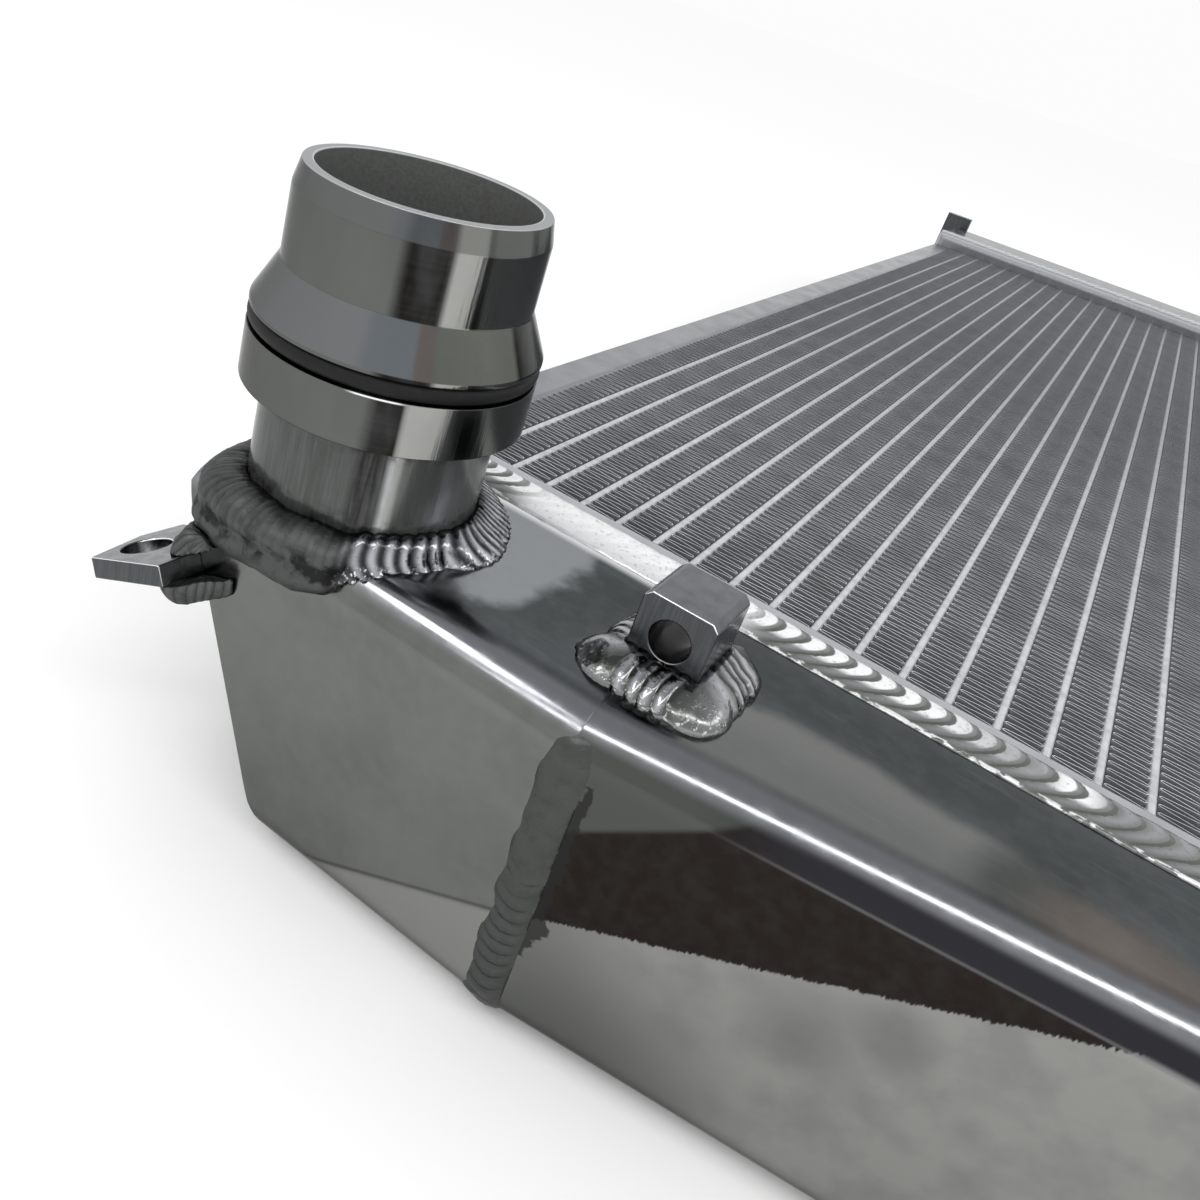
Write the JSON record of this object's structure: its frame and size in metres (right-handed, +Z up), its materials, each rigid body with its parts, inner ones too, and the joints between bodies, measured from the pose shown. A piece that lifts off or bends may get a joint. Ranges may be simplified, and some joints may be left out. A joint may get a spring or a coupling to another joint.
{
  "type": "aluminium radiator",
  "caption": "Welded aluminium cross-flow radiator: tube and fin core between two folded sheet tanks, with quick-fit hose necks and mounting lugs.",
  "frame": {"origin": "under the middle of the part's box, on the plane that it lies on", "axes": "+X along the tanks away from the inlet neck, +Y along the tubes from the inlet tank to the outlet tank, +Z up through the core, the way the hose necks point"},
  "size_m": [0.4944, 0.793, 0.1356],
  "materials": {
    "polished_sheet": "mirror polished",
    "satin_sheet": "satin, as rolled",
    "turned_aluminium": "turned and polished",
    "milled_aluminium": "milled",
    "weld_metal": "rippled weld bead",
    "core_tube": "brazed, satin",
    "core_fin": "brazed, matt",
    "seal_rubber": "matt"
  },
  "bodies": {
    "root": {"tubes": "core_tube", "fins_left": "core_fin", "fins_right": "core_fin", "side_plate_left": "satin_sheet", "side_plate_right": "satin_sheet", "inlet_header": "satin_sheet", "outlet_header": "satin_sheet", "inlet_end_section": "polished_sheet", "inlet_taper_section": "polished_sheet", "inlet_shallow_section": "polished_sheet", "inlet_end_plate": "polished_sheet", "outlet_tank": "polished_sheet", "outlet_end_plate_left": "polished_sheet", "outlet_end_plate_right": "polished_sheet", "inlet_neck": "turned_aluminium", "outlet_neck": "turned_aluminium", "inlet_seal": "seal_rubber", "outlet_seal": "seal_rubber", "mounting_block": "milled_aluminium", "mounting_tab": "milled_aluminium", "mounting_ear": "milled_aluminium", "inlet_header_weld": "weld_metal", "outlet_header_weld": "weld_metal", "inlet_seam_weld": "weld_metal", "inlet_step_weld": "weld_metal", "inlet_neck_weld": "weld_metal", "outlet_neck_weld": "weld_metal", "block_weld": "weld_metal", "tab_weld": "weld_metal", "ear_weld": "weld_metal"}
  },
  "joints": []
}
